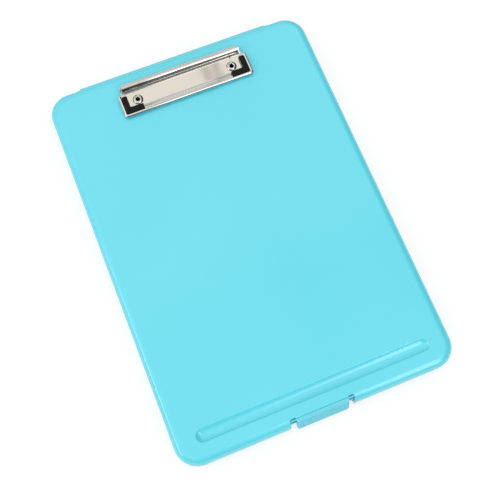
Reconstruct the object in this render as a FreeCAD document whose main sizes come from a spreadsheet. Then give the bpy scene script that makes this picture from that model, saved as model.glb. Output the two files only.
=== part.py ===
"""Storage clipboard box: a hinged case whose lid is the writing board.

Frame: X is the width, +Y points to the hinge, +Z is up. The origin is the middle of the
case's footprint, on the surface that it rests on. Lengths are in millimetres.
"""
import FreeCAD, Part
import math
import os
import re
import Sketcher
from FreeCAD import Vector

SIZES = {
    # The closed case, without the clip and the latch flap
    "box_width": 240.0,
    "box_length": 340.0,
    "box_height": 22.0,
    "parting_height": 11.0,
    "plan_radius": 19.0,
    "lid_edge_round": 7.0,
    "base_edge_round": 3.5,
    "wall": 2.4,
    "moving_gap": 0.3,
    # Tongue around the base's rim, which the lid's rebate fits over
    "tongue_height": 2.0,
    "tongue_wall": 1.0,
    "tongue_gap": 0.2,
    # Divider between the paper bay and the pen bay
    "pen_bay": 26.0,
    "divider_wall": 1.8,
    "divider_drop": 0.8,
    # Hinge along the rear edge
    "hinge_inset": 31.75,
    "hinge_stations": 9,
    "knuckle_radius": 3.5,
    "hinge_offset": 0.5,
    "hinge_relief": 0.4,
    "hinge_rail": 2.8,
    "hinge_rod_radius": 1.25,
    "rod_gap": 0.06,
    "rod_end_bevel": 0.3,
    # Notch in the front edge, and the latch flap in it
    "recess_width": 56.0,
    "recess_depth": 6.7,
    "base_recess_depth": 3.5,
    "recess_corner": 1.6,
    "recess_rim_round": 1.5,
    "recess_rim_past": 0.3,
    "flap_inset": 5.5,
    "flap_wall": 1.8,
    "flap_overhang": 2.0,
    "flap_foot": 4.0,
    "flap_corner": 3.5,
    "crease_reach": 4.05,
    "crease_drop": 1.6,
    "flap_edge_round": 0.4,
    "barrel_radius": 1.4,
    "barrel_sink": 0.5,
    "latch_pin_radius": 0.7,
    "latch_pin_seat": 1.7,
    "grip_lines": 6,
    "grip_radius": 0.3,
    "grip_margin": 3.0,
    # Hook behind the flap and the rib on the base that it catches
    "catch_inset": 13.0,
    "catch_reach": 1.1,
    "catch_drop": 0.7,
    "catch_height": 1.8,
    "hook_inset": 9.5,
    "hook_height": 1.6,
    "hook_gap": 0.4,
    "hook_wall_gap": 0.5,
    # Pen groove in the lid
    "groove_end_inset": 19.0,
    "groove_width": 11.0,
    "groove_depth": 2.5,
    "groove_reach": 21.2,
    "groove_skin": 2.0,
    "groove_wall_angle": 40.0,
    "groove_floor_round": 6.0,
    "groove_rim_round": 0.8,
    # Clip: base plate, curled over the rod at the rear and riveted to the lid
    "clip_inset": 16.7,
    "curl_inset": 6.0,
    "curl_radius": 3.25,
    "curl_angle": 195.0,
    "clip_sheet": 0.8,
    "plate_reach": 21.2,
    "plate_bend": 2.8,
    "plate_bend_drop": 0.55,
    "clip_rod_radius": 1.1,
    "clip_rod_head_radius": 1.9,
    "clip_rod_head": 0.7,
    # Clip: rivets and their washers
    "rivet_inset": 16.0,
    "rivet_reach": 13.1,
    "rivet_radius": 2.4,
    "rivet_bore": 1.9,
    "rivet_gap": 0.1,
    "rivet_head_radius": 4.6,
    "rivet_head_height": 1.4,
    "rivet_head_rim": 0.35,
    "rivet_tail_radius": 3.4,
    "rivet_tail": 0.7,
    "washer_radius": 5.0,
    "washer_height": 0.8,
    # Clip: the jaw, a frame whose ears turn on the rod
    "jaw_width": 120.0,
    "jaw_reach": 27.3,
    "jaw_lift": 2.0,
    "jaw_rail_end": 6.7,
    "rail_radius": 1.45,
    "rail_corner": 1.7,
    "rail_drop": 0.2,
    "bar_depth": 1.85,
    "lip_inset": 19.0,
    "ear_gap": 0.6,
    "ear_radius": 2.5,
    # Clip: rubber pads on the jaw's front corners
    "pad_side_arm": 4.6,
    "pad_front_arm": 5.4,
    "pad_length": 16.65,
    "pad_height": 1.3,
    "pad_seat_gap": 0.05,
    "pad_round": 0.9,
    "pad_edge_round": 0.35,
    # Clip: torsion springs on the rod
    "spring_wire_radius": 0.4,
    "spring_rod_gap": 0.15,
    "spring_pitch": 1.3,
    "spring_turns": 5,
    "spring_leg": 5.5,
    "spring_end_gap": 1.2,
    # How far a cut runs past what it cuts
    "overrun": 1.0,
}

# Widths and places that several pieces share, as formulas of the sizes
FRONT = "(-box_length / 2)"
REAR = "(box_length / 2)"
LID_UNDERSIDE = "(box_height - wall)"
HINGE_SPAN = "(box_width - 2 * hinge_inset)"
HINGE_PITCH = f"({HINGE_SPAN} / hinge_stations)"
HINGE_Y = f"({REAR} + hinge_offset)"
GROOVE_LENGTH = "(box_width - 2 * groove_end_inset)"
GROOVE_Y = f"({FRONT} + groove_reach)"
FLAP_WIDTH = "(recess_width - 2 * flap_inset)"
LATCH_Y = f"({FRONT} + recess_depth - moving_gap - barrel_radius)"
LATCH_Z = "(box_height - barrel_sink - barrel_radius)"
BASE_RECESS_Y = f"({FRONT} + base_recess_depth)"
CATCH_TOP = "(parting_height - catch_drop)"
CATCH_BOTTOM = f"({CATCH_TOP} - catch_height)"
CURL_SPAN = "(jaw_width - 2 * curl_inset)"
LIP_WIDTH = "(jaw_width - 2 * lip_inset)"
RIVET_SPACING = "(jaw_width - 2 * rivet_inset)"
CLIP_Y = f"({REAR} - clip_inset)"
CLIP_Z = "(box_height + curl_radius)"
JAW_FRONT = f"({CLIP_Y} - jaw_reach)"
JAW_BASE = "(box_height + jaw_lift)"
JAW_TOP = f"({JAW_BASE} + clip_sheet)"
RAIL_Z = f"({JAW_TOP} - rail_drop)"
RIVET_Y = f"({CLIP_Y} - rivet_reach)"
EAR_X = f"({CURL_SPAN} / 2 + ear_gap)"

# Lengths and volumes closer than this are taken as equal
CLOSE = 0.001
# What a sketch numbers: its own two axes, from -1 down, and from 0 up the places on a
# line or an arc
AXES = ("x", "y")
X_AXIS, Y_AXIS = (-1 - AXES.index(word) for word in AXES)
PLACES = ("edge", "start", "end", "centre")
START, END, CENTRE = (PLACES.index(word) for word in PLACES[1:])


document = FreeCAD.newDocument("storage_clipboard_box")
sheet = document.addObject("Spreadsheet::Sheet", "Sizes")
for row, (alias, size) in enumerate(SIZES.items(), 1):
    sheet.set(f"A{row}", alias)
    sheet.set(f"B{row}", str(size))
    sheet.setAlias(f"B{row}", alias)
gauge = document.addObject("App::VarSet", "Gauge")
gauge.addProperty("App::PropertyFloat", "reading")
document.recompute()


def sized(formula):
    """Write a formula's size names as cells of the sheet."""
    def as_cell(word):
        return f"Sizes.{word[0]}" if word[0] in SIZES else word[0]

    return re.sub(r"[a-z_]+", as_cell, formula)


def number(formula):
    """Work out a formula from the sheet."""
    gauge.setExpression("reading", sized(formula))
    gauge.recompute()
    return gauge.reading


def new_body(name):
    body = document.addObject("PartDesign::Body", name)
    body.Label = name
    return body


def origin_part(body, role):
    return next(part for part in body.Origin.OriginFeatures if part.Role == role)


def new_sketch(body, name, plane, offset="0"):
    """Add a sketch on one of the body's own origin planes, moved along the plane's normal."""
    sketch = body.newObject("Sketcher::SketchObject", f"{body.Name}_{name}")
    sketch.AttachmentSupport = [(origin_part(body, plane), "")]
    sketch.MapMode = "FlatFace"
    sketch.setExpression("AttachmentOffset.Base.z", sized(offset))
    return sketch


def hold(sketch, kind, geometry, point, formula):
    """Hold a point's X or Y distance from the sketch's origin at a formula."""
    if formula == "0":
        axis = Y_AXIS if kind == "DistanceX" else X_AXIS
        sketch.addConstraint(Sketcher.Constraint("PointOnObject", geometry, point, axis))
        return
    distance = Sketcher.Constraint(kind, X_AXIS, START, geometry, point, number(formula))
    index = sketch.addConstraint(distance)
    sketch.setExpression(f"Constraints[{index}]", sized(formula))


def outline(sketch, steps):
    """Draw a closed outline. Each step ends at its first two formulas. Two more formulas
    give an arc's centre, and the fifth entry says if the arc turns left or right."""
    ends = [Vector(number(step[0]), number(step[1]), 0) for step in steps]
    drawn = []
    for index, step in enumerate(steps):
        start = ends[index - 1]
        end = ends[index]
        if len(step) == 2:
            geometry = sketch.addGeometry(Part.LineSegment(start, end))
            drawn.append((geometry, START, END))
            continue
        centre = Vector(number(step[2]), number(step[3]), 0)
        circle = Part.Circle(centre, Vector(0, 0, 1), (start - centre).Length)
        first, last = (start, end) if step[4] == "left" else (end, start)
        arc = Part.ArcOfCircle(circle, circle.parameter(first), circle.parameter(last))
        geometry = sketch.addGeometry(arc)
        drawn.append((geometry, START, END) if step[4] == "left" else (geometry, END, START))
    for index, (geometry, _, tail) in enumerate(drawn):
        following, head, _ = drawn[(index + 1) % len(drawn)]
        sketch.addConstraint(Sketcher.Constraint("Coincident", geometry, tail, following, head))
        hold(sketch, "DistanceX", geometry, tail, steps[index][0])
        hold(sketch, "DistanceY", geometry, tail, steps[index][1])
        if len(steps[index]) > 2:
            chord = ends[index] - ends[index - 1]
            if abs(chord.x) > abs(chord.y):
                hold(sketch, "DistanceY", geometry, CENTRE, steps[index][3])
            else:
                hold(sketch, "DistanceX", geometry, CENTRE, steps[index][2])


def rectangle(sketch, left, right, low, high):
    outline(sketch, [(right, low), (right, high), (left, high), (left, low)])


def case_outline(sketch, inset):
    """Draw the case's outline in plan, moved inwards by the inset."""
    half_width = f"(box_width / 2 - {inset})"
    half_length = f"(box_length / 2 - {inset})"
    x = "(box_width / 2 - plan_radius)"
    y = "(box_length / 2 - plan_radius)"
    outline(sketch, [
        (x, f"-{half_length}"), (half_width, f"-{y}", x, f"-{y}", "left"),
        (half_width, y), (x, half_length, x, y, "left"),
        (f"-{x}", half_length), (f"-{half_width}", y, f"-{x}", y, "left"),
        (f"-{half_width}", f"-{y}"), (f"-{x}", f"-{half_length}", f"-{x}", f"-{y}", "left"),
    ])


def ring(sketch, x, y, radius):
    """Draw a circle held at its centre and radius."""
    centre = Vector(number(x), number(y), 0)
    geometry = sketch.addGeometry(Part.Circle(centre, Vector(0, 0, 1), number(radius)))
    hold(sketch, "DistanceX", geometry, CENTRE, x)
    hold(sketch, "DistanceY", geometry, CENTRE, y)
    index = sketch.addConstraint(Sketcher.Constraint("Radius", geometry, number(radius)))
    sketch.setExpression(f"Constraints[{index}]", sized(radius))


def pad(sketch, length, centred=False, back=False):
    """Add material along the sketch's normal, to both sides of it, or backwards."""
    body = sketch.getParentGeoFeatureGroup()
    feature = body.newObject("PartDesign::Pad", f"{sketch.Name}_pad")
    feature.Profile = sketch
    feature.setExpression("Length", sized(length))
    feature.SideType = "Symmetric" if centred else "One side"
    feature.Reversed = back
    document.recompute()
    return feature


def cut(sketch, length, centred=False, forward=False):
    """Cut backwards from the sketch, to both sides of it, or along its normal."""
    body = sketch.getParentGeoFeatureGroup()
    before = body.Shape.Volume
    feature = body.newObject("PartDesign::Pocket", f"{sketch.Name}_cut")
    feature.Profile = sketch
    feature.setExpression("Length", sized(length))
    feature.SideType = "Symmetric" if centred else "One side"
    feature.Reversed = forward
    document.recompute()
    if feature.Shape.isNull() or feature.Shape.Volume > before - CLOSE:
        raise RuntimeError(f"{feature.Name} cuts nothing")
    return feature


def repeat_along_x(feature, count, pitch):
    """Repeat a feature along X, counting itself."""
    body = feature.getParentGeoFeatureGroup()
    pattern = body.newObject("PartDesign::LinearPattern", f"{feature.Name}_row")
    pattern.Originals = [feature]
    pattern.Direction = (origin_part(body, "X_Axis"), [""])
    pattern.Mode = "Spacing"
    pattern.setExpression("Offset", sized(pitch))
    pattern.setExpression("Occurrences", sized(count))
    body.Tip = pattern
    document.recompute()
    return pattern


def edge_names(body, chosen):
    return [f"Edge{place}" for place, edge in enumerate(body.Shape.Edges, 1) if chosen(edge)]


def round_edges(body, name, chosen, radius):
    """Round the edges of the body that the test chooses."""
    edges = edge_names(body, chosen)
    if not edges:
        raise RuntimeError(f"{body.Name} has no edge for {name}")
    base = body.Tip
    feature = body.newObject("PartDesign::Fillet", f"{body.Name}_{name}")
    feature.Base = (base, edges)
    feature.setExpression("Radius", sized(radius))
    document.recompute()
    return feature


def in_plane(edge, axis, formula):
    """Tell if the whole edge lies in the plane where that axis has the formula's value."""
    box = edge.BoundBox
    place = number(formula)
    low, high = getattr(box, f"{axis}Min"), getattr(box, f"{axis}Max")
    return abs(low - place) < CLOSE and abs(high - place) < CLOSE


def upright(edge):
    """Tell if an edge is straight and runs along Z."""
    return edge.BoundBox.XLength < CLOSE and edge.BoundBox.YLength < CLOSE


def shell(body, face_height):
    """Hollow the body to the wall, open at the flat face at that height."""
    place = number(face_height)
    for index, face in enumerate(body.Shape.Faces, 1):
        box = face.BoundBox
        if box.ZLength < CLOSE and abs(box.ZMin - place) < CLOSE:
            open_face = f"Face{index}"
    base = body.Tip
    feature = body.newObject("PartDesign::Thickness", f"{body.Name}_shell")
    feature.Base = (base, [open_face])
    feature.setExpression("Value", sized("wall"))
    feature.Reversed = True
    document.recompute()


def add_hinge_side(body, first_own, own_count, first_other, other_count):
    """Cut the reliefs for the other half's knuckles, add this half's, and bore them."""
    half_gap = "moving_gap / 2"
    start = f"-{HINGE_SPAN} / 2 + {first_other} * {HINGE_PITCH} - {half_gap}"
    sketch = new_sketch(body, "knuckle_relief", "YZ_Plane", start)
    ring(sketch, HINGE_Y, "parting_height", "knuckle_radius + hinge_relief")
    relief = cut(sketch, f"{HINGE_PITCH} + moving_gap", forward=True)
    repeat_along_x(relief, other_count, f"2 * {HINGE_PITCH}")
    start = f"-{HINGE_SPAN} / 2 + {first_own} * {HINGE_PITCH} + {half_gap}"
    sketch = new_sketch(body, "knuckle", "YZ_Plane", start)
    ring(sketch, HINGE_Y, "parting_height", "knuckle_radius")
    knuckle = pad(sketch, f"{HINGE_PITCH} - moving_gap")
    repeat_along_x(knuckle, own_count, f"2 * {HINGE_PITCH}")
    sketch = new_sketch(body, "rod_bore", "YZ_Plane")
    ring(sketch, HINGE_Y, "parting_height", "hinge_rod_radius + rod_gap")
    cut(sketch, f"{HINGE_SPAN} + overrun", centred=True)


def make_base_tray():
    """Lower half of the case, one moulding with a tongue around its rim."""
    body = new_body("base_tray")
    sketch = new_sketch(body, "footprint", "XY_Plane")
    case_outline(sketch, "0")
    pad(sketch, "parting_height")
    round_edges(body, "bottom_round", lambda edge: in_plane(edge, "Z", "0"), "base_edge_round")
    shell(body, "parting_height")
    sketch = new_sketch(body, "tongue", "XY_Plane", "parting_height")
    case_outline(sketch, "(wall - tongue_wall)")
    case_outline(sketch, "wall")
    pad(sketch, "tongue_height")
    sketch = new_sketch(body, "tongue_gaps", "XY_Plane", "parting_height")
    half_hinge = f"({HINGE_SPAN} / 2 + wall + tongue_gap)"
    rectangle(sketch, f"-{half_hinge}", half_hinge, f"{REAR} - 2 * wall", f"{REAR} + overrun")
    half_recess = "(recess_width / 2 + wall + tongue_gap)"
    rectangle(sketch, f"-{half_recess}", half_recess, f"{FRONT} - overrun", f"{FRONT} + 2 * wall")
    cut(sketch, "tongue_height + overrun", forward=True)
    add_base_ribs(body)
    sketch = new_sketch(body, "recess", "XY_Plane")
    recess_outline(sketch, BASE_RECESS_Y)
    cut(sketch, "parting_height + overrun", forward=True)
    sketch = new_sketch(body, "catch_rib", "YZ_Plane")
    outline(sketch, [
        (BASE_RECESS_Y, CATCH_BOTTOM),
        (BASE_RECESS_Y, CATCH_TOP),
        (f"{BASE_RECESS_Y} - catch_reach / 2", CATCH_TOP),
        (f"{BASE_RECESS_Y} - catch_reach", f"{CATCH_TOP} - catch_reach / 2"),
        (f"{BASE_RECESS_Y} - catch_reach", CATCH_BOTTOM),
    ])
    pad(sketch, "recess_width - 2 * catch_inset", centred=True)
    add_hinge_side(body, "0", "(hinge_stations + 1) / 2", "1", "(hinge_stations - 1) / 2")
    return body


def add_base_ribs(body):
    """Wall behind the recess, divider of the pen bay, and rail inside the hinge."""
    sketch = new_sketch(body, "ribs", "XY_Plane", "wall / 2")
    inside = "wall / 2 + base_edge_round / 2"
    half_recess = "(recess_width / 2 + wall)"
    rectangle(sketch, f"-{half_recess}", half_recess, f"{FRONT} + {inside}", f"{BASE_RECESS_Y} + wall")
    half_hinge = f"({HINGE_SPAN} / 2 + wall)"
    rail_front = f"{REAR} - wall - hinge_rail"
    rectangle(sketch, f"-{half_hinge}", half_hinge, rail_front, f"{REAR} - ({inside})")
    pad(sketch, "parting_height - wall / 2")
    sketch = new_sketch(body, "divider", "XY_Plane", "wall / 2")
    half_inside = "(box_width / 2 - wall / 2)"
    front = f"({BASE_RECESS_Y} + wall + pen_bay)"
    rectangle(sketch, f"-{half_inside}", half_inside, front, f"{front} + divider_wall")
    pad(sketch, "parting_height - wall / 2 - divider_drop")


def recess_outline(sketch, back_y):
    """Draw the notch in plan, its inner corners round and its outer ones eased by arcs
    whose centres lie so far back that they still cross the case's front."""
    half = "(recess_width / 2)"
    eased_x = f"({half} + recess_rim_round)"
    eased_y = f"({FRONT} + recess_rim_round - recess_rim_past)"
    arc_foot = f"({FRONT} - recess_rim_past)"
    outside = f"({FRONT} - overrun)"
    corner_x = f"({half} - recess_corner)"
    corner_y = f"({back_y} - recess_corner)"
    outline(sketch, [
        (eased_x, outside),
        (eased_x, arc_foot),
        (half, eased_y, eased_x, eased_y, "right"),
        (half, corner_y),
        (corner_x, back_y, corner_x, corner_y, "left"),
        (f"-{corner_x}", back_y),
        (f"-{half}", corner_y, f"-{corner_x}", corner_y, "left"),
        (f"-{half}", eased_y),
        (f"-{eased_x}", arc_foot, f"-{eased_x}", eased_y, "right"),
        (f"-{eased_x}", outside),
    ])


def make_lid():
    """Upper half of the case, one moulding whose top is the writing board."""
    body = new_body("lid")
    sketch = new_sketch(body, "footprint", "XY_Plane", "parting_height")
    case_outline(sketch, "0")
    pad(sketch, "box_height - parting_height")
    round_edges(body, "top_round", lambda edge: in_plane(edge, "Z", "box_height"), "lid_edge_round")
    shell(body, "parting_height")
    sketch = new_sketch(body, "rebate", "XY_Plane", "parting_height")
    case_outline(sketch, "(wall - tongue_wall - tongue_gap)")
    case_outline(sketch, "(wall + tongue_gap)")
    cut(sketch, "tongue_height + tongue_gap", forward=True)
    add_lid_ribs(body)
    sketch = new_sketch(body, "recess", "XY_Plane", "parting_height")
    recess_outline(sketch, f"({FRONT} + recess_depth)")
    cut(sketch, "box_height - parting_height + overrun", forward=True)
    sketch = new_sketch(body, "pin_seats", "YZ_Plane")
    ring(sketch, LATCH_Y, LATCH_Z, "latch_pin_radius + rod_gap")
    cut(sketch, "recess_width + 2 * latch_pin_seat", centred=True)
    cut_pen_groove(body)
    add_hinge_side(body, "1", "(hinge_stations - 1) / 2", "0", "(hinge_stations + 1) / 2")
    sketch = new_sketch(body, "rivet_holes", "XY_Plane", "box_height")
    for side in ("-", ""):
        ring(sketch, f"{side}{RIVET_SPACING} / 2", RIVET_Y, "rivet_radius + rivet_gap")
    cut(sketch, "wall + overrun")
    return body


def add_lid_ribs(body):
    """Wall behind the recess, rail inside the hinge, and the pen groove's underside."""
    sketch = new_sketch(body, "ribs", "XY_Plane", "parting_height")
    half_recess = "(recess_width / 2 + wall)"
    rib_back = f"{FRONT} + recess_depth + wall"
    rectangle(sketch, f"-{half_recess}", half_recess, f"{FRONT} + wall", rib_back)
    half_hinge = f"({HINGE_SPAN} / 2 + wall)"
    rail_front = f"{REAR} - wall - hinge_rail"
    rectangle(sketch, f"-{half_hinge}", half_hinge, rail_front, f"{REAR} - wall / 2")
    pad(sketch, f"{LID_UNDERSIDE} - parting_height")
    sketch = new_sketch(body, "groove_bulge", "XY_Plane", "box_height - groove_depth - groove_skin")
    groove_outline(sketch, "(groove_width / 2 + groove_skin)")
    pad(sketch, "groove_depth + groove_skin - wall / 2")


def groove_outline(sketch, half_width):
    """Draw the pen groove's round-ended outline, that wide to each side of its middle."""
    end = f"(({GROOVE_LENGTH} - groove_width) / 2)"
    low = f"{GROOVE_Y} - {half_width}"
    high = f"{GROOVE_Y} + {half_width}"
    outline(sketch, [
        (end, low),
        (end, high, end, GROOVE_Y, "left"),
        (f"-{end}", high),
        (f"-{end}", low, f"-{end}", GROOVE_Y, "left"),
    ])


def cut_pen_groove(body):
    """Sink the pen groove, a round-ended trough whose leaning walls run into its floor
    by a wide round, and ease its rim."""
    sketch = new_sketch(body, "pen_groove", "XY_Plane", "box_height")
    groove_outline(sketch, "(groove_width / 2)")
    trough = cut(sketch, "groove_depth")
    trough.setExpression("TaperAngle", sized("-groove_wall_angle * 1deg"))
    document.recompute()
    reach = number("groove_width / 2") + CLOSE

    def around(edge, height):
        return abs(edge.BoundBox.Center.y - number(GROOVE_Y)) < reach and in_plane(edge, "Z", height)

    floor = "box_height - groove_depth"
    round_edges(body, "groove_floor", lambda edge: around(edge, floor), "groove_floor_round")
    round_edges(body, "groove_rim", lambda edge: around(edge, "box_height"), "groove_rim_round")


def make_hinge_rod():
    """Steel rod through all the knuckles, its ends bevelled."""
    body = new_body("hinge_rod")
    sketch = new_sketch(body, "section", "YZ_Plane")
    ring(sketch, HINGE_Y, "parting_height", "hinge_rod_radius")
    pad(sketch, f"{HINGE_SPAN} - 2 * moving_gap", centred=True)
    edges = edge_names(body, lambda edge: edge.BoundBox.XLength < CLOSE)
    base = body.Tip
    bevel = body.newObject("PartDesign::Chamfer", "hinge_rod_bevel")
    bevel.Base = (base, edges)
    bevel.setExpression("Size", sized("rod_end_bevel"))
    document.recompute()
    return body


def make_latch_flap():
    """Moulded flap on its barrel, with a hook behind and grip lines in front."""
    body = new_body("latch_flap")
    crease_y = f"({FRONT} + recess_depth - crease_reach)"
    crease_z = "(box_height - crease_drop)"
    foot_y = f"({FRONT} - flap_overhang)"
    foot_z = "(flap_foot + flap_wall / 2)"
    sketch = new_sketch(body, "plate", "YZ_Plane")
    outline(sketch, [
        (f"{foot_y} + flap_wall / 2", "flap_foot"),
        (f"{foot_y} + flap_wall", "flap_foot"),
        (LATCH_Y, f"{LATCH_Z} - barrel_radius"),
        (LATCH_Y, f"{LATCH_Z} + barrel_radius", LATCH_Y, LATCH_Z, "left"),
        (crease_y, crease_z),
        (foot_y, foot_z),
    ])
    pad(sketch, FLAP_WIDTH, centred=True)
    hook_top = f"({CATCH_BOTTOM} - hook_gap)"
    slope = f"(({foot_y} - {crease_y}) / ({crease_z} - {foot_z}))"
    sketch = new_sketch(body, "hook", "YZ_Plane")
    root = f"({crease_y} + ({crease_z} - {hook_top}) * {slope} + flap_wall / 2)"
    tip = f"({BASE_RECESS_Y} - hook_wall_gap)"
    outline(sketch, [
        (tip, hook_top),
        (root, hook_top),
        (root, f"{hook_top} - 2 * hook_height"),
        (tip, f"{hook_top} - hook_height / 2"),
    ])
    pad(sketch, f"{FLAP_WIDTH} - 2 * hook_inset", centred=True)
    sketch = new_sketch(body, "pin_bore", "YZ_Plane")
    ring(sketch, LATCH_Y, LATCH_Z, "latch_pin_radius + rod_gap")
    cut(sketch, f"{FLAP_WIDTH} + overrun", centred=True)
    side = number(f"{FLAP_WIDTH} / 2")
    low = number("2 * flap_foot")

    def at_foot_corner(edge):
        box = edge.BoundBox
        across = abs(box.YLength) > CLOSE and box.XLength < CLOSE and box.ZMax < low
        return across and abs(abs(box.XMin) - side) < CLOSE and in_plane(edge, "Z", "flap_foot")

    def on_front_rim(edge):
        box = edge.BoundBox
        beside = box.XLength < CLOSE and abs(abs(box.XMin) - side) < CLOSE
        crease = in_plane(edge, "Y", crease_y) and in_plane(edge, "Z", crease_z)
        sloping = beside and box.YMax < number(crease_y) + CLOSE and box.ZLength > number("flap_corner")
        return crease or sloping

    round_edges(body, "foot_corners", at_foot_corner, "flap_corner")
    round_edges(body, "front_rim", on_front_rim, "flap_edge_round")
    cut_grip_lines(body, crease_y, crease_z, foot_y, foot_z)
    return body


def cut_grip_lines(body, crease_y, crease_z, foot_y, foot_z):
    """Cut fine lines across the flap's front, evenly spaced down its slope."""
    sketch = new_sketch(body, "grip_lines", "YZ_Plane")
    for line in range(int(number("grip_lines"))):
        share = f"(({line} + 1) / (grip_lines + 1))"
        y = f"({crease_y} + ({foot_y} - {crease_y}) * {share})"
        z = f"({crease_z} + ({foot_z} - {crease_z}) * {share})"
        ring(sketch, y, z, "grip_radius")
    cut(sketch, f"{FLAP_WIDTH} - 2 * grip_margin", centred=True)


def make_latch_pin():
    """Moulded pin that the flap turns on, its ends in the recess's two side walls."""
    body = new_body("latch_pin")
    sketch = new_sketch(body, "section", "YZ_Plane")
    ring(sketch, LATCH_Y, LATCH_Z, "latch_pin_radius")
    pad(sketch, "recess_width + 2 * latch_pin_seat - 2 * rod_gap", centred=True)
    return body


def make_clip_base_plate():
    """Plated sheet on the lid: bent down in front, curled up and over the rod behind."""
    body = new_body("clip_base_plate")
    front = f"({CLIP_Y} - plate_reach)"
    inner = "(curl_radius - clip_sheet)"
    plate_top = "(box_height + clip_sheet)"
    cosine = "cos(curl_angle * 1deg)"
    sine = "sin(curl_angle * 1deg)"
    end_y = f"{CLIP_Y} + curl_radius * {cosine}"
    end_z = f"{CLIP_Z} + curl_radius * {sine}"
    bend_y = f"({front} + plate_bend)"
    bend_squares = "(plate_bend * plate_bend + plate_bend_drop * plate_bend_drop)"
    bend_radius = f"({bend_squares} / (2 * plate_bend_drop))"
    sketch = new_sketch(body, "section", "YZ_Plane")
    outline(sketch, [
        (front, "box_height"),
        (CLIP_Y, "box_height"),
        (end_y, end_z, CLIP_Y, CLIP_Z, "left"),
        (f"{CLIP_Y} + {inner} * {cosine}", f"{CLIP_Z} + {inner} * {sine}"),
        (CLIP_Y, plate_top, CLIP_Y, CLIP_Z, "right"),
        (bend_y, plate_top),
        (front, f"{plate_top} - plate_bend_drop", bend_y, f"{plate_top} - {bend_radius}", "left"),
    ])
    pad(sketch, CURL_SPAN, centred=True)
    sketch = new_sketch(body, "rivet_holes", "XY_Plane", plate_top)
    for side in ("-", ""):
        ring(sketch, f"{side}{RIVET_SPACING} / 2", RIVET_Y, "rivet_radius + rivet_gap")
    cut(sketch, "clip_sheet + overrun")
    return body


def make_clip_jaw():
    """Plated frame: a flat flange, a round rail along its edge, a pressing lip and two ears."""
    body = new_body("clip_jaw")
    bar_y = f"({JAW_FRONT} + rail_radius)"
    inner_y = f"({JAW_FRONT} + 2 * rail_radius + bar_depth)"
    pad_y = f"({JAW_FRONT} + 2 * rail_radius + pad_front_arm)"
    pad_x = "(jaw_width / 2 - 2 * rail_radius - pad_side_arm)"
    rail_x = "(jaw_width / 2 - rail_radius)"
    rail_end = f"({CLIP_Y} - jaw_rail_end)"
    ear_out = f"({EAR_X} + clip_sheet)"
    neck_y = f"({CLIP_Y} - curl_radius - 2 * moving_gap)"
    neck_end = f"({CLIP_Y} - clip_rod_head_radius - moving_gap)"
    half_lip = f"({LIP_WIDTH} / 2)"
    corners = [
        (half_lip, inner_y), (half_lip, pad_y), (pad_x, pad_y), (pad_x, f"{rail_end} - moving_gap"),
        (EAR_X, neck_y), (EAR_X, neck_end), (ear_out, neck_end), (rail_x, rail_end),
    ]
    right_side = corners + [(rail_x, bar_y)]
    left_side = [(f"-{x}", y) for x, y in reversed(right_side)]
    sketch = new_sketch(body, "flange", "XY_Plane", JAW_BASE)
    outline(sketch, right_side + left_side)
    pad(sketch, "clip_sheet")
    add_jaw_rail(body, rail_x, bar_y, rail_end)
    sketch = new_sketch(body, "pressing_lip", "YZ_Plane")
    lip_front = f"({bar_y} - clip_sheet / 2)"
    lip_back = f"({bar_y} + clip_sheet / 2)"
    lip_z = "(box_height + moving_gap + clip_sheet / 2)"
    outline(sketch, [
        (lip_front, lip_z),
        (lip_back, lip_z, bar_y, lip_z, "left"),
        (lip_back, RAIL_Z),
        (lip_front, RAIL_Z),
    ])
    pad(sketch, LIP_WIDTH, centred=True)
    sketch = new_sketch(body, "ear", "YZ_Plane", EAR_X)
    outline(sketch, [
        (CLIP_Y, f"{CLIP_Z} - ear_radius"),
        (CLIP_Y, f"{CLIP_Z} + ear_radius", CLIP_Y, CLIP_Z, "left"),
        (f"{neck_y} - ear_radius / 2", JAW_TOP),
        (f"{neck_y} - ear_radius / 2", JAW_BASE),
    ])
    ear = pad(sketch, "clip_sheet")
    mirrored = body.newObject("PartDesign::Mirrored", "clip_jaw_ears_both")
    mirrored.Originals = [ear]
    mirrored.MirrorPlane = (origin_part(body, "YZ_Plane"), [""])
    body.Tip = mirrored
    document.recompute()
    sketch = new_sketch(body, "rod_bore", "YZ_Plane")
    ring(sketch, CLIP_Y, CLIP_Z, "clip_rod_radius + rod_gap")
    cut(sketch, "jaw_width", centred=True)
    return body


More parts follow.
